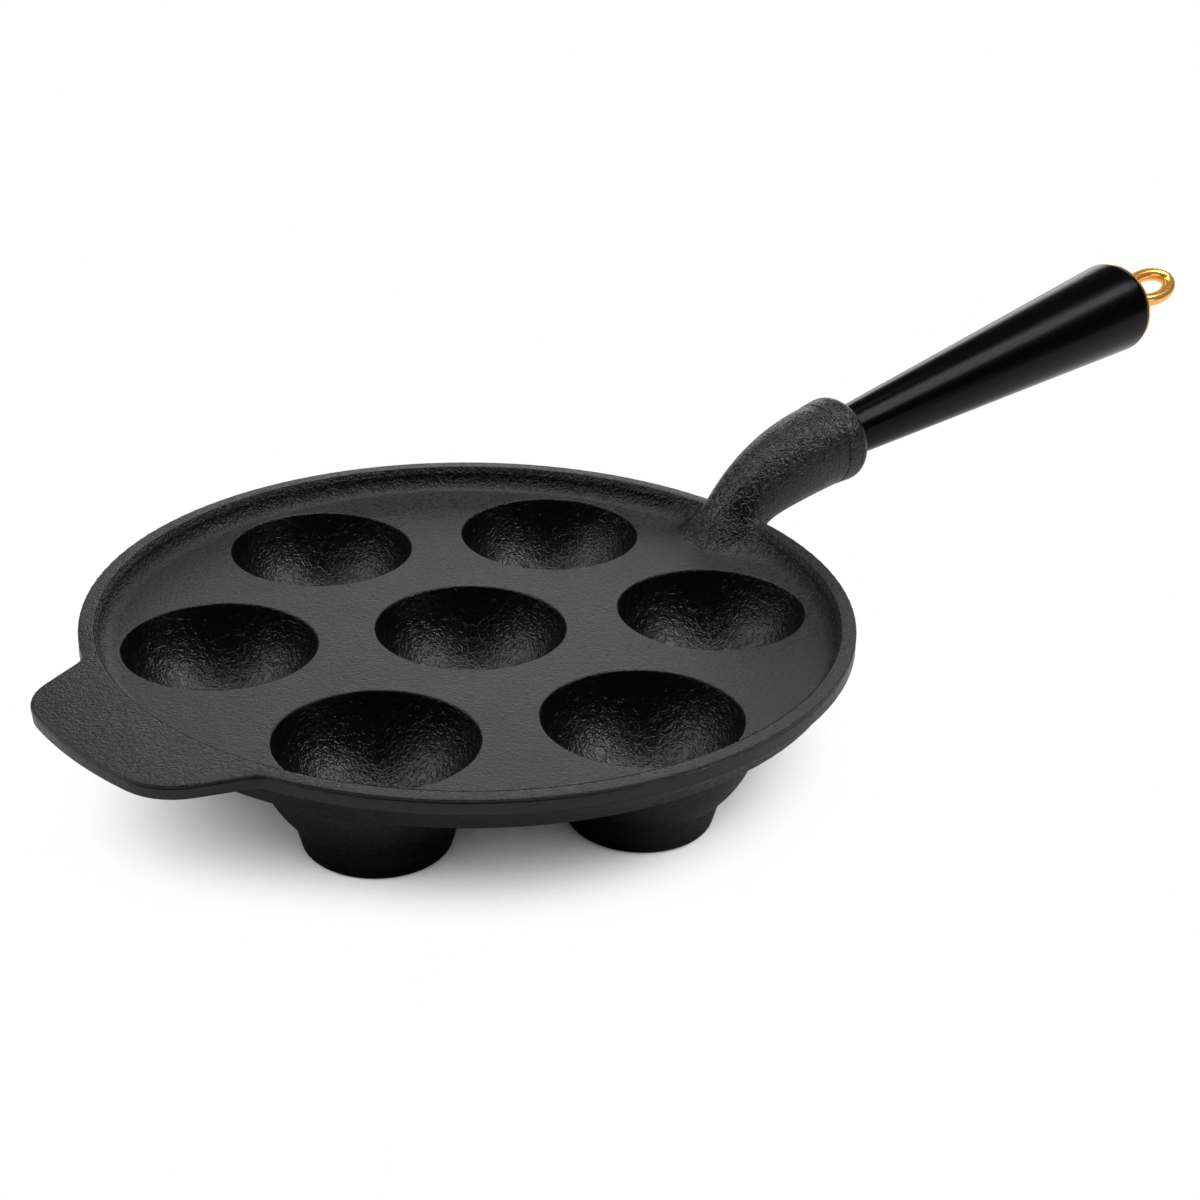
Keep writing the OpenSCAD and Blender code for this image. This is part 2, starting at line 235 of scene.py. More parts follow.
class StageSettings(bpy.types.PropertyGroup):
    floor_colour: bpy.props.FloatVectorProperty(
        name="Floor colour", description="Plain pale floor",
        subtype="COLOR", default=(0.80, 0.80, 0.80), min=0, max=1,
    )
    shadow_reach: bpy.props.FloatProperty(
        name="Shadow reach", description="How far from the pan its soft shadow can reach",
        unit="LENGTH", default=0.14, min=0.01, max=1,
    )
    shadow_edge: bpy.props.FloatProperty(
        name="Shadow edge", description="Openness of the floor at the middle of the shadow's edge",
        default=0.25, min=0, max=1,
    )
    shadow_soft: bpy.props.FloatProperty(
        name="Shadow softness", description="Half the width of the shadow's edge",
        default=0.24, min=0.01, max=1,
    )
    floor_size: bpy.props.FloatProperty(
        name="Floor size", description="Side of the square floor",
        unit="LENGTH", default=40.0, min=2, max=80,
    )
    light: bpy.props.FloatProperty(
        name="Light", description="Strength of all soft lights together",
        unit="POWER", default=52.0, min=0, max=200,
    )
    surround: bpy.props.FloatProperty(
        name="Surround", description="Level of the even light from all round",
        default=0.02, min=0, max=2,
    )


class PanSettings(bpy.types.PropertyGroup):
    iron: bpy.props.PointerProperty(type=IronSettings)
    handle: bpy.props.PointerProperty(type=HandleSettings)
    brass: bpy.props.PointerProperty(type=BrassSettings)
    stage: bpy.props.PointerProperty(type=StageSettings)


# Shader maths


class Wire:
    """A socket whose arithmetic adds Math nodes to its material."""

    def __init__(self, shader, socket):
        self.shader = shader
        self.socket = socket

    def math(self, operation, *others, clamp=False):
        inputs = {i: v for i, v in enumerate((self, *others))}
        return self.shader.node(
            "ShaderNodeMath", {"operation": operation, "use_clamp": clamp}, inputs
        ).out("Value")

    def __add__(self, other):
        return self.math("ADD", other)

    __radd__ = __add__

    def __sub__(self, other):
        return self.math("SUBTRACT", other)

    def __rsub__(self, other):
        return self.shader.value(other).math("SUBTRACT", self)

    def __mul__(self, other):
        return self.math("MULTIPLY", other)

    __rmul__ = __mul__

    def clamp(self):
        return self.math("ADD", 0.0, clamp=True)

    def size(self):
        return self.math("ABSOLUTE")

    def root(self):
        return self.math("SQRT")

    def above(self, edge, soft):
        """0 below edge - soft, 1 above edge + soft, and smooth between."""
        return self.shader.node(
            "ShaderNodeMapRange",
            {"interpolation_type": "SMOOTHSTEP"},
            {"Value": self, "From Min": edge - soft, "From Max": edge + soft},
        ).out("Result")

    def near(self, value, width):
        """1 at value, falling to 0 at width on both sides."""
        return 1 - (self - value).size().above(width / 2, width / 2)

    def swing(self, width):
        """A pattern from 0 to 1 as a swing round 0, of that width from end to end."""
        return (self - 0.5) * width


class Made:
    """A node that was added, with its outputs as Wires."""

    def __init__(self, shader, node):
        self.shader = shader
        self.node = node

    def out(self, name):
        return Wire(self.shader, self.node.outputs[name])


class Shader:
    """A material under construction."""

    def __init__(self, name):
        self.material = bpy.data.materials.new(name)
        self.material.use_nodes = True
        self.tree = self.material.node_tree
        self.tree.nodes.clear()
        self._object = None

    def node(self, kind, settings=None, inputs=None):
        made = self.tree.nodes.new(kind)
        for key, value in (settings or {}).items():
            setattr(made, key, value)
        for key, value in (inputs or {}).items():
            socket = made.inputs[key]
            if isinstance(value, Wire):
                self.tree.links.new(value.socket, socket)
            else:
                socket.default_value = value
        return Made(self, made)

    def value(self, number):
        made = self.node("ShaderNodeValue")
        made.node.outputs[0].default_value = number
        return made.out("Value")

    def object_place(self):
        if self._object is None:
            self._object = self.node("ShaderNodeTexCoord").out("Object")
        return self._object

    def axes(self):
        parts = self.node("ShaderNodeSeparateXYZ", None, {0: self.object_place()})
        return parts.out("X"), parts.out("Y"), parts.out("Z")

    def moved(self, place, shift=(0, 0, 0), turn=(0, 0, 0), scale=(1, 1, 1)):
        """The place in a pattern's own axes: shifted, then turned, then scaled."""
        steps = self.node(
            "ShaderNodeMapping",
            {"vector_type": "TEXTURE"},
            {"Vector": place, "Location": shift, "Rotation": turn, "Scale": scale},
        )
        return steps.out("Vector")

    def noise(self, size, detail=2.0, rough=0.5, distortion=0.0, place=None):
        """Noise whose features are about size across, from 0 to 1."""
        return self.node(
            "ShaderNodeTexNoise",
            None,
            {
                "Vector": place or self.object_place(),
                "Scale": 1 / size,
                "Detail": detail,
                "Roughness": rough,
                "Distortion": distortion,
            },
        ).out("Fac")

    def blend(self, factor, first, second):
        """Mixes two colours."""
        made = self.tree.nodes.new("ShaderNodeMix")
        made.data_type = "RGBA"
        sockets = {"Factor": made.inputs[0], "A": made.inputs[6], "B": made.inputs[7]}
        for key, value in (("Factor", factor), ("A", first), ("B", second)):
            if isinstance(value, Wire):
                self.tree.links.new(value.socket, sockets[key])
            elif key == "Factor":
                sockets[key].default_value = value
            else:
                sockets[key].default_value = (*value[:3], 1)
        return Wire(self, made.outputs[2])

    def scaled(self, colour, level):
        """A colour times a number that varies over the surface."""
        return self.node(
            "ShaderNodeVectorMath",
            {"operation": "SCALE"},
            {0: colour if isinstance(colour, Wire) else tuple(colour[:3]), "Scale": level},
        ).out("Vector")

    def bump(self, height, depth, strength=1.0, below=None):
        """Relief of that depth in metres, from a height between 0 and 1."""
        inputs = {"Height": height, "Distance": depth, "Strength": strength}
        if below is not None:
            inputs["Normal"] = below
        return self.node("ShaderNodeBump", None, inputs).out("Normal")

    def surface(self, **inputs):
        """Closes the material with a Principled BSDF."""
        names = {key.replace("_", " "): value for key, value in inputs.items()}
        body = self.node("ShaderNodeBsdfPrincipled", None, names)
        self.node("ShaderNodeOutputMaterial", None, {"Surface": body.out("BSDF")})
        return self.material


# Mesh helpers


def add_object(name, mesh):
    piece = bpy.data.objects.new(name, mesh)
    bpy.context.scene.collection.objects.link(piece)
    return piece


def from_bmesh(name, shape, material, smooth=True):
    """Turns a bmesh into a piece with outward faces."""
    bmesh.ops.remove_doubles(shape, verts=shape.verts, dist=SAME_PLACE)
    bmesh.ops.recalc_face_normals(shape, faces=shape.faces)
    for face in shape.faces:
        face.smooth = smooth
    mesh = bpy.data.meshes.new(name)
    shape.to_mesh(mesh)
    shape.free()
    mesh.materials.append(material)
    return add_object(name, mesh)


def with_modifiers_applied(piece):
    """Replaces a piece's mesh by what its modifiers make of it."""
    evaluated = piece.evaluated_get(bpy.context.evaluated_depsgraph_get())
    mesh = bpy.data.meshes.new_from_object(evaluated)
    old = piece.data
    piece.modifiers.clear()
    piece.data = mesh
    bpy.data.meshes.remove(old)


def handle_matrix(station=0.0):
    """Places a shape that stands on +Z on the handle's axis, from the socket's mouth."""
    along = Vector((math.cos(HANDLE_RISE), 0, math.sin(HANDLE_RISE)))
    turn = Matrix.Rotation(math.pi / 2 - HANDLE_RISE, 4, "Y")
    return Matrix.Translation(SOCKET_MOUTH + along * station) @ turn


def arc_points(centre_r, centre_z, radius, start, end, steps):
    """Points (r, z) of an arc; angles in degrees from the +r direction."""
    angles = [math.radians(start + (end - start) * i / steps) for i in range(steps + 1)]
    return [
        (centre_r + radius * math.cos(a), centre_z + radius * math.sin(a)) for a in angles
    ]


def turned(shape, outline, steps=128):
    """Spins an outline of (r, z) points about Z into a closed skin."""
    verts = [shape.verts.new((r, 0, z)) for r, z in outline]
    edges = [shape.edges.new(pair) for pair in zip(verts, verts[1:])]
    bmesh.ops.spin(
        shape, geom=verts + edges, cent=(0, 0, 0), axis=(0, 0, 1),
        angle=math.tau, steps=steps, use_merge=True,
    )
    bmesh.ops.remove_doubles(shape, verts=shape.verts, dist=SAME_PLACE)


# Materials


def well_centres():
    """Centres of the spheres that the wells are cut from."""
    pitch = math.tau / WELLS_IN_RING
    turns = [pitch * (i + 0.5) for i in range(WELLS_IN_RING)]
    ring = [(WELL_RING * math.cos(a), WELL_RING * math.sin(a), WELL_CENTRE_Z) for a in turns]
    return [(0, 0, WELL_CENTRE_Z), *ring]


def iron_zones(s):
    """Masks, from 0 to 1, of the parts of the casting that differ in finish and in painted light
    and shade.
    """
    x, y, z = s.axes()
    radius = (x * x + y * y).root()
    nearest = None
    for centre in well_centres():
        gap = s.node(
            "ShaderNodeVectorMath", {"operation": "DISTANCE"}, {0: s.object_place(), 1: centre}
        ).out("Value")
        nearest = gap if nearest is None else nearest.math("MINIMUM", gap)

    # Inside the wells: their own finish, and the painted shade of their colour
    well = (1 - nearest.above(*WELL_EDGE)) * (1 - z.above(*WELL_LIP))
    arm = z.above(*ARM_FOOT)
    root = z.above(*ROOT_FOOT) * x.above(*ROOT_START)
    root = root * (1 - y.size().above(*ROOT_WIDTH)) * (1 - radius.above(*ROOT_REACH))
    wall = radius.near(*WALL_RING) * z.above(*WALL_FOOT)
    coarse = (well + arm + root + wall).clamp()
    band = (1 - z.above(*BAND_TOP)) * radius.above(*BAND_INSIDE)
    tab = z.above(*TAB_LEVEL) * (1 - x.above(*TAB_START))
    return {
        "well": well, "arm": arm, "root": root, "coarse": coarse, "band": band, "tab": tab,
        # The plate's top, where the paler colour of painted light goes
        "plate": z.above(*PLATE_LEVEL) * (1 - coarse) * (1 - tab) * (1 - band),
        # Along the wells' mouths, where the painted highlight goes
        "mouth": nearest.near(*MOUTH_EDGE) * z.above(*MOUTH_LOW),
        "lines": (z.near(*TOP_LINE) + z.near(*PARTING_LINE) * 0.5) * band,
    }


def iron_relief(s, zone, speckle, stain):
    """Sand grain on the plate, the mould's wrinkled skin on the coarse parts, and thin lines."""
    grain = s.noise(0.80 * MM, detail=2.0, rough=0.6)
    shown = 1 - zone["band"] * 0.7 - zone["well"] * 0.6 - zone["arm"] * 0.6
    sand = s.bump((grain.swing(1) + speckle.swing(0.8)) * shown, SAND_DEPTH)

    threads = s.noise(2.6 * MM, detail=1.0, rough=0.5, distortion=1.1)
    wrinkle = (1 - (threads - 0.5).size() * 7).clamp()
    lumps = s.noise(1.5 * MM, detail=2.0, rough=0.6)
    skin = wrinkle * 0.8 + lumps * (0.9 - zone["arm"] * 0.5) - 0.8
    shown = 0.06 + zone["coarse"] * 0.94
    shown = shown - zone["well"] * 0.60 - zone["arm"] * 0.30 - zone["root"] * 0.10
    skin = skin * shown - zone["lines"] * (0.4 + stain)
    return s.bump(skin, SKIN_DEPTH, below=sand)


def iron_material(iron):
    """Seasoned cast iron: fine grain on the plate, wrinkled skin in the wells and on the arm;
    painted shade in the wells, painted light on the plate's top and a painted highlight along the
    wells' mouths.
    """
    s = Shader("seasoned_cast_iron")
    zone = iron_zones(s)
    grit = s.noise(0.45 * MM, detail=1.0)
    speckle = s.noise(1.7 * MM, detail=2.0, rough=0.7)
    stain = s.noise(4 * MM, detail=3.0, rough=0.6)
    drift = s.noise(15 * MM, detail=3.0, rough=0.55)

    tone = 0.8 + drift * 0.4 + stain.swing(0.5) + grit.swing(0.7) + speckle.swing(4)
    # Painted light: the plate's top is painted paler than the rest of the iron
    bare = s.blend(zone["plate"], iron.plate_colour, iron.top_light_colour)
    # Painted highlight: the wells' mouths are painted lighter, in patches
    mouth_highlight = zone["mouth"] * (stain * 1.6 - 0.3).clamp()
    bare = s.blend(mouth_highlight, bare, iron.edge_highlight_colour)
    # Painted shade: the iron inside the wells is painted darker than the plate
    colour = s.scaled(s.blend(zone["well"], bare, iron.well_shade_colour), tone.clamp())

    roughness = iron.roughness + drift.swing(0.14) + stain.swing(0.10)
    roughness = roughness + (grit.swing(0.24) + speckle.swing(0.50)) * (1 - zone["coarse"])
    for part, drop in SMOOTHER.items():
        roughness = roughness - zone[part] * drop
    return s.surface(
        Base_Color=colour, Roughness=roughness, Normal=iron_relief(s, zone, speckle, stain),
        Specular_IOR_Level=0.36,
    )


def along_handle(s, stretch):
    """Places in the handle's own axes, with patterns stretched along it."""
    return s.moved(
        s.object_place(), shift=SOCKET_MOUTH, turn=(0, math.pi / 2 - HANDLE_RISE, 0),
        scale=(1, 1, stretch),
    )


def lacquer_material(handle):
    """Black lacquer over turned wood, with the wood's long grain just showing in the gloss."""
    s = Shader("black_lacquered_wood")
    pores = s.noise(0.9 * MM, detail=3.0, rough=0.6, place=along_handle(s, 14))
    sway = s.noise(24 * MM, detail=1.0)
    specks = s.noise(0.7 * MM, detail=1.0).above(0.80, 0.03)
    normal = s.bump(pores, 0.008 * MM, below=s.bump(sway, 0.04 * MM, strength=0.2))
    roughness = handle.roughness + pores.swing(0.10) + sway.swing(0.06)
    colour = s.blend(specks * 0.5, handle.lacquer_colour, (0.006, 0.006, 0.006))
    return s.surface(
        Base_Color=colour, Roughness=roughness, Normal=normal, Specular_IOR_Level=0.075
    )


def brass_material(brass):
    """Polished brass with faint hairlines and warmer, duller patches."""
    s = Shader("polished_brass")
    hairlines = s.noise(
        0.35 * MM, detail=2.0, place=s.moved(s.object_place(), scale=(1, 6, 1))
    )
    patches = s.noise(5 * MM, detail=2.0)
    colour = s.blend(patches.above(0.62, 0.12) * 0.35, brass.colour, (0.62, 0.27, 0.06))
    roughness = brass.roughness + hairlines.swing(0.10) + patches.swing(0.10)
    return s.surface(
        Base_Color=colour, Roughness=roughness, Metallic=0.65,
        Normal=s.bump(hairlines, 0.0006 * MM),
    )


def steel_material():
    """Drawn steel rod with fine lengthwise marks."""
    s = Shader("drawn_steel")
    marks = s.noise(0.3 * MM, detail=2.0, place=along_handle(s, 30))
    return s.surface(
        Base_Color=s.scaled((0.55, 0.55, 0.56), 0.85 + marks * 0.3),
        Roughness=0.28 + marks.swing(0.2),
        Metallic=1.0,
        Normal=s.bump(marks, 0.01 * MM),
    )


# The casting's skin


def mesh_points(mesh):
    """Places of a mesh's vertices, one row each."""
    points = np.empty(len(mesh.vertices) * 3)
    mesh.vertices.foreach_get("co", points)
    return points.reshape(-1, 3)


def mesh_normals(mesh):
    """Normals of a mesh's vertices, one row each."""
    normals = np.empty(len(mesh.vertices) * 3)
    mesh.vertices.foreach_get("normal", normals)
    return normals.reshape(-1, 3)


def set_points(mesh, points):
    mesh.vertices.foreach_set("co", points.astype(np.float32).ravel())
    mesh.update()


def neighbour_mean(points, edges, count):
    """Mean place of each vertex's neighbours."""
    total = np.empty_like(points)
    for axis in range(3):
        total[:, axis] = np.bincount(
            edges[:, 0], weights=points[edges[:, 1], axis], minlength=len(points)
        ) + np.bincount(edges[:, 1], weights=points[edges[:, 0], axis], minlength=len(points))
    return total / count[:, None]


def smooth_step(value, low, high):
    t = np.clip((value - low) / (high - low), 0, 1)
    return t * t * (3 - 2 * t)


def filled_corners(mesh, turns):
    """Fills the inner corners round the arm like poured iron; outer corners stay."""
    edges = np.empty(len(mesh.edges) * 2, dtype=np.int64)
    mesh.edges.foreach_get("vertices", edges)
    edges = edges.reshape(-1, 2)
    points = mesh_points(mesh)
    count = np.bincount(edges.ravel(), minlength=len(points)).astype(float)

    x, y, _ = points.T
    fill = smooth_step(x, *FILL_START) * (1 - smooth_step(x, *FILL_END))
    fill = fill * (1 - smooth_step(np.abs(y), *FILL_SIDE))
    for _ in range(turns):
        step = neighbour_mean(points, edges, count) - points
        set_points(mesh, points)
        outward = np.einsum("ij,ij->i", step, mesh_normals(mesh))
        weight = np.where(outward > 0, FILL_STEP * fill, 0.0)
        points = points + step * weight[:, None]
    set_points(mesh, points)


def root_block(casting):
    """The part of the casting round the arm's root, cut out and closed."""
    shape = bmesh.new()
    shape.from_mesh(casting)
    planes = (
        ((ROOT_BACK, 0, 0), (-1, 0, 0)), ((ROOT_FRONT, 0, 0), (1, 0, 0)),
        ((0, ROOT_SIDE, 0), (0, 1, 0)), ((0, -ROOT_SIDE, 0), (0, -1, 0)),
    )
    for place, outwards in planes:
        everything = shape.verts[:] + shape.edges[:] + shape.faces[:]
        bmesh.ops.bisect_plane(
            shape, geom=everything, plane_co=place, plane_no=outwards, clear_outer=True
        )
        bmesh.ops.holes_fill(shape, edges=[e for e in shape.edges if e.is_boundary])
    mesh = bpy.data.meshes.new("root_block")
    shape.to_mesh(mesh)
    shape.free()
    return mesh


def root_skin(casting, iron):
    """Soft corners between the arm, the plate and the rim, as a skin over the casting."""
    block = add_object("root_block", root_block(casting))
    remesh = block.modifiers.new("skin", "REMESH")
    remesh.mode = "VOXEL"
    remesh.voxel_size = iron.voxel
    with_modifiers_applied(block)
    filled_corners(block.data, iron.fill_turns)

    # The skin shows only where it stands out of the casting
    shape = bmesh.new()
    shape.from_mesh(casting)
    tree = BVHTree.FromBMesh(shape)
    shape.free()
    points, normals = mesh_points(block.data), mesh_normals(block.data)
    points = points - normals * iron.skin_sink
    x, y, _ = points.T
    near_cut = (
        (x < ROOT_BACK + CUT_MARGIN) | (x > ROOT_FRONT - CUT_MARGIN)
        | (np.abs(y) > ROOT_SIDE - CUT_MARGIN)
    )
    hidden = np.array([
        cut or (Vector(p) - q).dot(n) < -BURIED_DEPTH
        for cut, p, (q, n, _, _) in zip(near_cut, points, (tree.find_nearest(p) for p in points))
    ])
    set_points(block.data, points)
    shape = bmesh.new()
    shape.from_mesh(block.data)
    shape.verts.ensure_lookup_table()
    buried = [f for f in shape.faces if all(hidden[v.index] for v in f.verts)]
    bmesh.ops.delete(shape, geom=buried, context="FACES")
    bmesh.ops.triangulate(shape, faces=shape.faces)
    mesh = block.data
    shape.to_mesh(mesh)
    shape.free()
    bpy.data.objects.remove(block)
    return mesh


def sharpened_mouths(mesh, share):
    """Draws the rounding of each well's mouth in towards its corner."""
    points = mesh_points(mesh)
    for x, y, _ in well_centres():
        across = points[:, :2] - np.array((x, y))
        reach = np.maximum(np.hypot(*across.T), 1e-9)
        corner = np.column_stack((
            np.array((x, y)) + across * (MOUTH_RADIUS / reach)[:, None],
            np.full(len(points), PLATE_TOP),
        ))
        gap = points - corner
        near = np.linalg.norm(gap, axis=1) < MOUTH_ROUNDING
        points[near] = corner[near] + gap[near] * share
    set_points(mesh, points)


class PAN_OT_iron_casting(bpy.types.Operator):
    """Makes the casting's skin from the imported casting, with poured corners at the arm"""

    bl_idname = "pan.iron_casting"
    bl_label = "Iron casting"

    def execute(self, context):
        iron = context.scene.pan.iron
        shape = bmesh.new()
        shape.from_mesh(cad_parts["pan_casting"].data)
        bmesh.ops.remove_doubles(shape, verts=shape.verts, dist=SAME_CAD_PLACE)
        casting = bpy.data.meshes.new("iron_casting")
        shape.to_mesh(casting)
        shape.free()
        sharpened_mouths(casting, iron.mouth_share)
        skin = root_skin(casting, iron)

        shape = bmesh.new()
        shape.from_mesh(casting)
        shape.from_mesh(skin)
        for face in shape.faces:
            face.smooth = True
            face.material_index = 0
        shape.to_mesh(casting)
        shape.free()
        bpy.data.meshes.remove(skin)
        low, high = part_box("pan_casting")
        set_points(casting, np.clip(mesh_points(casting), np.array(low), np.array(high)))
        casting.set_sharp_from_angle(angle=CASTING_CREASE)
        casting.materials.clear()
        casting.materials.append(iron_material(iron))
        piece = add_object("iron_casting", casting)
        weighted = piece.modifiers.new("flat_faces_stay_flat", "WEIGHTED_NORMAL")
        weighted.keep_sharp = True
        with_modifiers_applied(piece)
        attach(piece, "root")
        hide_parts("pan_casting")
        return {"FINISHED"}


class PAN_OT_lacquered_handle(bpy.types.Operator):
    """Turns the lacquered handle, with its spigot in the socket and its bore for the rod"""

    bl_idname = "pan.lacquered_handle"
    bl_label = "Lacquered handle"

    def execute(self, context):
        handle = context.scene.pan.handle
        small, large, rounding = handle.small_radius, handle.large_radius, handle.end_round
        spigot, chamfer, bore = 14 * MM, 1 * MM, 3.4 * MM
        steps = 40
        slope = (large - small) / GRIP_LENGTH
        lean = math.degrees(math.atan(slope))
        corner_r = large - rounding * 1.05
        outline = [(bore, -spigot), (small - chamfer, -spigot), (small, chamfer - spigot)]
        outline += [
            (small + slope * GRIP_LENGTH * i / steps, GRIP_LENGTH * i / steps)
            for i in range(steps - 1)
        ]
        outline += arc_points(
            corner_r, GRIP_LENGTH - rounding, rounding, -lean, 90, 10
        )
        outline += [(bore, GRIP_LENGTH), (bore, -spigot)]
        shape = bmesh.new()
        turned(shape, outline)
        bmesh.ops.transform(shape, matrix=handle_matrix(), verts=shape.verts)
        piece = from_bmesh("lacquered_handle", shape, lacquer_material(handle))
        piece.data.set_sharp_from_angle(angle=CREASE)
        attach(piece, "root")
        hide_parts("handle_grip")
        return {"FINISHED"}


class PAN_OT_steel_rod(bpy.types.Operator):
    """Gives the rod inside the handle its steel finish"""

    bl_idname = "pan.steel_rod"
    bl_label = "Steel rod"

    def execute(self, context):
        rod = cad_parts["tie_rod"]
        steel = steel_material()
        if not rod.material_slots:
            rod.data.materials.append(steel)
        for place in rod.material_slots:
            place.material = steel
        return {"FINISHED"}


def oval_ring(shape, centre, half_length, half_width, roll, wire, around=96, across=32):
    """Adds a round wire bent to an oval, with its long axis along +Z, rolled about Z."""
    long_way = Vector((0, 0, 1))
    wide_way = Vector((-math.sin(roll), math.cos(roll), 0))
    normal = long_way.cross(wide_way)
    rings = []
    for i in range(around):
        turn = math.tau * i / around
        middle = centre + long_way * half_length * math.cos(turn)
        middle = middle + wide_way * half_width * math.sin(turn)
        ahead = wide_way * half_width * math.cos(turn) - long_way * half_length * math.sin(turn)
        side = ahead.normalized().cross(normal)
        ring = []
        for j in range(across):
            angle = math.tau * j / across
            offset = side * math.cos(angle) + normal * math.sin(angle)
            ring.append(shape.verts.new(middle + offset * wire))
        rings.append(ring)
    for first, second in zip(rings, rings[1:] + rings[:1]):
        for j in range(across):
            k = (j + 1) % across
            shape.faces.new((first[j], first[k], second[k], second[j]))


def brass_eye(brass, polished):
    """The hanging eye: a collar on the handle's end and an oval ring of thick wire."""
    collar, rounding, bore = 5 * MM, 0.8 * MM, 3.1 * MM
    low, high, neck = 1.6 * MM, 9.5 * MM, 2.6 * MM
    ring_place = Vector((-0.9 * MM, 0.45 * MM, 23.75 * MM))
    ring_length, ring_roll = 11.85 * MM, math.radians(30)
    shape = bmesh.new()
    outline = [(bore, low), (collar, low)]
    outline += arc_points(collar - rounding, high - rounding, rounding, 0, 90, 8)
    outline += [(neck, high + neck), (0, high + neck), (0, high), (bore, high), (bore, low)]
    turned(shape, outline, steps=64)
    bmesh.ops.recalc_face_normals(shape, faces=shape.faces)
    oval_ring(shape, ring_place, ring_length, brass.eye_width, ring_roll, brass.wire_radius)
    bmesh.ops.transform(shape, matrix=handle_matrix(GRIP_LENGTH), verts=shape.verts)
    piece = from_bmesh("brass_eye", shape, polished)
    piece.data.set_sharp_from_angle(angle=CREASE)
    return piece


class PAN_OT_brass_end(bpy.types.Operator):
    """Makes the brass washer and the hanging eye with its collar"""

    bl_idname = "pan.brass_end"
    bl_label = "Brass washer and eye"

    def execute(self, context):
        brass = context.scene.pan.brass
        polished = brass_material(brass)

        washer = bmesh.new()
        radius, thick, rounding, bore = 17.0 * MM, 1.6 * MM, 1.2 * MM, 3.4 * MM
        outline = [(bore, 0), (radius, 0)]
        outline += arc_points(radius - rounding, thick - rounding, rounding, 0, 90, 8)
        outline += [(bore, thick), (bore, 0)]
        turned(washer, outline)
        bmesh.ops.transform(washer, matrix=handle_matrix(GRIP_LENGTH), verts=washer.verts)
        piece = from_bmesh("brass_washer", washer, polished)
        piece.data.set_sharp_from_angle(angle=CREASE)
        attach(piece, "root")
        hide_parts("end_washer")

        piece = brass_eye(brass, polished)
        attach(piece, "root")
        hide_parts("hanging_eye")
        return {"FINISHED"}


# Stage


def floor_material(stage):
    """Pale matt floor: white to the camera where it is open, in shadow close to the pan."""
    s = Shader("pale_floor")
    matt = s.node("ShaderNodeBsdfDiffuse", None, {"Color": (*stage.floor_colour, 1)}).out("BSDF")
    white = s.node("ShaderNodeEmission", None, {"Color": (1, 1, 1, 1), "Strength": 1.0})
    nearness = s.node(
        "ShaderNodeAmbientOcclusion", {"samples": 12}, {"Distance": stage.shadow_reach}
    ).out("AO")
    open_floor = nearness.above(stage.shadow_edge, stage.shadow_soft)
    rays = s.node("ShaderNodeLightPath")
    seen = rays.out("Is Camera Ray") * open_floor
    mixed = s.node(
        "ShaderNodeMixShader", None, {0: seen, 1: matt, 2: white.out("Emission")}
    ).out("Shader")
    s.node("ShaderNodeOutputMaterial", None, {"Surface": mixed})
    return s.material


def white_surround(level):
    """White to the camera, an even softer level for everything else."""
    world = bpy.data.worlds.new("pale_surround")
    world.use_nodes = True
    tree = world.node_tree
    tree.nodes.clear()
    rays = tree.nodes.new("ShaderNodeLightPath")
    seen = tree.nodes.new("ShaderNodeBackground")
    seen.inputs["Strength"].default_value = 1.0
    seen.inputs["Color"].default_value = (1, 1, 1, 1)
    felt = tree.nodes.new("ShaderNodeBackground")
    felt.inputs["Strength"].default_value = level
    felt.inputs["Color"].default_value = (1, 1, 1, 1)
    mix = tree.nodes.new("ShaderNodeMixShader")
    out = tree.nodes.new("ShaderNodeOutputWorld")
    tree.links.new(rays.outputs["Is Camera Ray"], mix.inputs[0])
    tree.links.new(felt.outputs[0], mix.inputs[1])
    tree.links.new(seen.outputs[0], mix.inputs[2])
    tree.links.new(mix.outputs[0], out.inputs["Surface"])
    bpy.context.scene.world = world


def soft_light(name, round_angle, rise, width, height, power):
    lamp = bpy.data.lights.new(name, "AREA")
    lamp.shape = "RECTANGLE"
    lamp.size, lamp.size_y = width, height
    lamp.energy = power
    turn, rise = math.radians(round_angle), math.radians(rise)
    away = Vector((
        math.cos(turn) * math.cos(rise), math.sin(turn) * math.cos(rise), math.sin(rise)
    ))
    holder = bpy.data.objects.new(name, lamp)
    holder.location = LIGHT_AIM + away * LIGHT_DISTANCE
    holder.rotation_mode = "QUATERNION"
    holder.rotation_quaternion = (-away).to_track_quat("-Z", "Y")
    bpy.context.scene.collection.objects.link(holder)


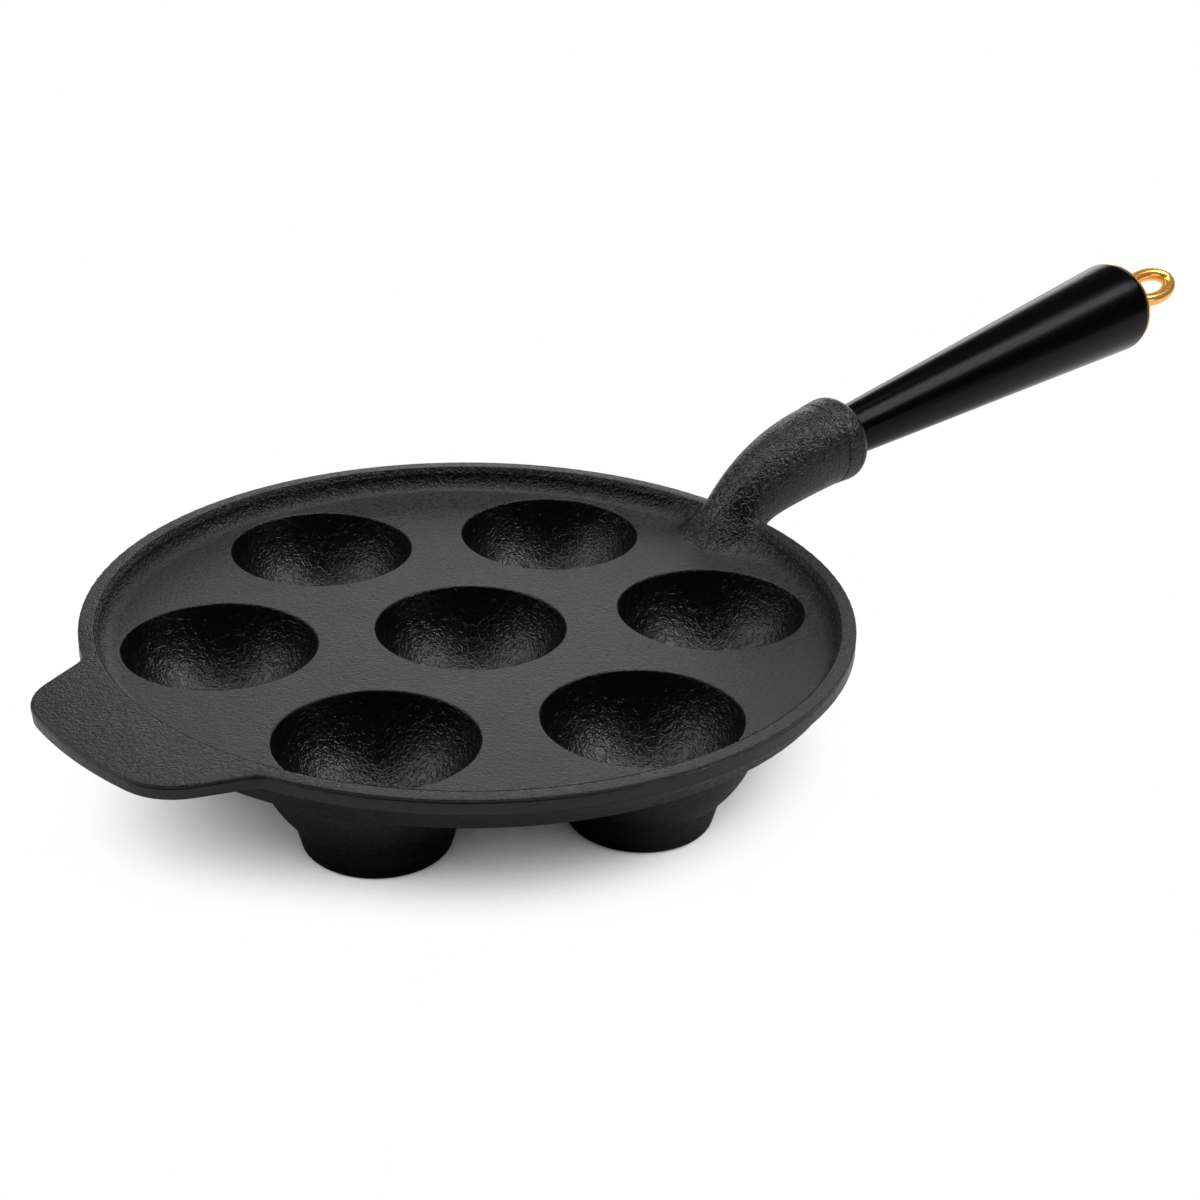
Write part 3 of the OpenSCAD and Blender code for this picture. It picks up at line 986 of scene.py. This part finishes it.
class PAN_OT_stage(bpy.types.Operator):
    """Sets up the pale floor, the soft lights and the camera"""

    bl_idname = "pan.stage"
    bl_label = "Stage"

    def execute(self, context):
        stage = context.scene.pan.stage
        plane = bmesh.new()
        bmesh.ops.create_grid(plane, x_segments=1, y_segments=1, size=stage.floor_size / 2)
        floor = from_bmesh("floor", plane, floor_material(stage), smooth=False)
        white_surround(stage.surround)

        for name, (turn, rise, width, height, share) in SOFT_LIGHTS.items():
            soft_light(name, turn, rise, width, height, stage.light * share)

        forward = CAMERA_AHEAD.normalized()
        right = forward.cross(CAMERA_UP).normalized()
        up = right.cross(forward)
        turn = Matrix((right, up, -forward)).transposed()
        lens = bpy.data.cameras.new("photo_camera")
        lens.sensor_width = CAMERA_SENSOR
        lens.lens = CAMERA_LENS
        lens.clip_start, lens.clip_end = CAMERA_CLIP
        camera = bpy.data.objects.new("photo_camera", lens)
        camera.location = CAMERA_PLACE
        camera.rotation_mode = "QUATERNION"
        camera.rotation_quaternion = turn.to_quaternion()
        context.scene.collection.objects.link(camera)
        context.scene.camera = camera
        context.scene.view_settings.view_transform = "Standard"
        return {"FINISHED"}


class PAN_PT_pieces(bpy.types.Panel):
    """Lists the pan's pieces and their settings"""

    bl_label = "Aebleskiver Pan"
    bl_idname = "PAN_PT_pieces"
    bl_space_type = "VIEW_3D"
    bl_region_type = "UI"
    bl_category = "Pan"

    def draw(self, context):
        for name in PIECES:
            self.layout.operator(f"pan.{name}")
        for group in ("iron", "handle", "brass", "stage"):
            settings = getattr(context.scene.pan, group)
            box = self.layout.box()
            for key in settings.bl_rna.properties.keys():
                if key not in ("rna_type", "name"):
                    box.prop(settings, key)


PIECES = ("stage", "iron_casting", "lacquered_handle", "steel_rod", "brass_end")
CLASSES = (
    IronSettings, HandleSettings, BrassSettings, StageSettings, PanSettings,
    PAN_OT_stage, PAN_OT_iron_casting, PAN_OT_lacquered_handle, PAN_OT_steel_rod,
    PAN_OT_brass_end, PAN_PT_pieces,
)


def register():
    for kind in CLASSES:
        bpy.utils.register_class(kind)
    bpy.types.Scene.pan = bpy.props.PointerProperty(type=PanSettings)


def unregister():
    del bpy.types.Scene.pan
    for kind in reversed(CLASSES):
        bpy.utils.unregister_class(kind)


def main():
    register()
    for name in PIECES:
        getattr(bpy.ops.pan, name)()


if __name__ == "__main__":
    main()
